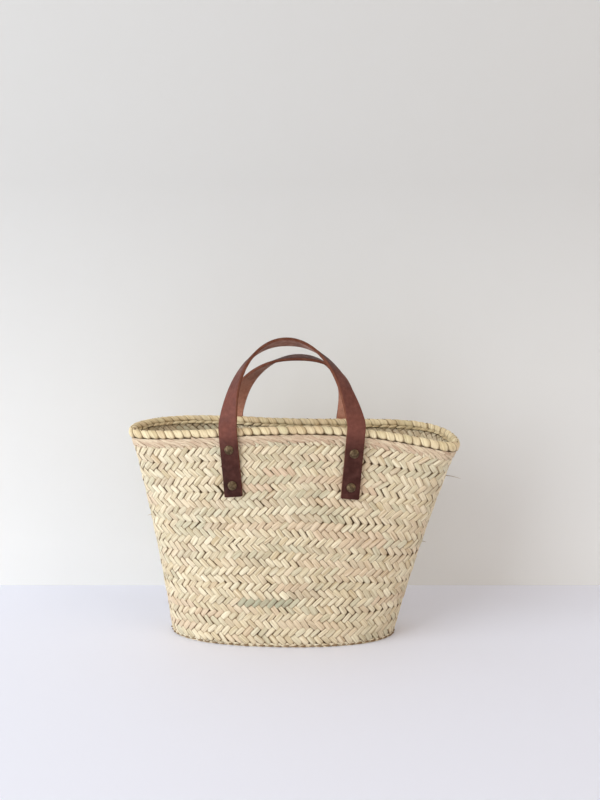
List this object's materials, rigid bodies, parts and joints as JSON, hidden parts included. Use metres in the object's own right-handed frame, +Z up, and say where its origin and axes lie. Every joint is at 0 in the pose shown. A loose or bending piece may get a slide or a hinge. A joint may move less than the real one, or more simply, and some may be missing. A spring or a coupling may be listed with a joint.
{
  "type": "woven market basket",
  "caption": "Flared oval basket of plaited palm leaf with a thick rim roll, a twined band and riveted leather strap handles that fold outwards.",
  "frame": {"origin": "middle of the underside of the base, on the surface the basket stands on", "axes": "+X along the basket's length towards the viewer's right, -Y towards the front, +Z up"},
  "size_m": [0.3666, 0.132, 0.3356],
  "materials": {
    "palm_leaf": "matt dried palm leaf, straw with sage green and pinkish strands",
    "lacing": "matt twisted palm cord",
    "rim_leaf": "matt wrapped palm leaf",
    "dyed_leaf": "matt pinkish-brown twined leaf",
    "strap_leather": "waxed dark purple-brown grain, lighter flesh side and cut edges",
    "aged_brass": "antique brass, worn and dull"
  },
  "bodies": {
    "basket": {"base_plait": "palm_leaf", "base_edge_braid": "rim_leaf", "base_lacing": "lacing", "seam_lacing_1": "lacing", "seam_lacing_2": "lacing", "seam_lacing_3": "lacing", "seam_lacing_4": "lacing", "seam_lacing_5": "lacing", "seam_lacing_6": "lacing", "wall_turn_1": "palm_leaf", "wall_turn_2": "palm_leaf", "wall_turn_3": "palm_leaf", "wall_turn_4": "palm_leaf", "wall_turn_5": "palm_leaf", "wall_turn_6": "palm_leaf", "wall_turn_7": "palm_leaf", "rim_roll": "rim_leaf", "twined_band": "dyed_leaf", "front_strap_left_tab": "strap_leather", "front_strap_right_tab": "strap_leather", "back_strap_left_tab": "strap_leather", "back_strap_right_tab": "strap_leather", "rivet_front_left_upper": "aged_brass", "rivet_front_left_lower": "aged_brass", "rivet_front_right_upper": "aged_brass", "rivet_front_right_lower": "aged_brass", "rivet_back_left_upper": "aged_brass", "rivet_back_left_lower": "aged_brass", "rivet_back_right_upper": "aged_brass", "rivet_back_right_lower": "aged_brass", "burr_front_left_upper": "aged_brass", "burr_front_left_lower": "aged_brass", "burr_front_right_upper": "aged_brass", "burr_front_right_lower": "aged_brass", "burr_back_left_upper": "aged_brass", "burr_back_left_lower": "aged_brass", "burr_back_right_upper": "aged_brass", "burr_back_right_lower": "aged_brass"},
    "front_handle": {"front_strap_loop": "strap_leather"},
    "back_handle": {"back_strap_loop": "strap_leather"}
  },
  "joints": [
    {"name": "front_handle_fold", "type": "hinge", "parent": "basket", "child": "front_handle", "pos_m": [0.01327, -0.04843, 0.24091], "axis": [0.9974, 0.0714, 0.0027], "range_deg": [-8, 150]},
    {"name": "back_handle_fold", "type": "hinge", "parent": "basket", "child": "back_handle", "pos_m": [0.00465, 0.05241, 0.23891], "axis": [-0.9954, 0.095, -0.0082], "range_deg": [-14, 150]}
  ]
}
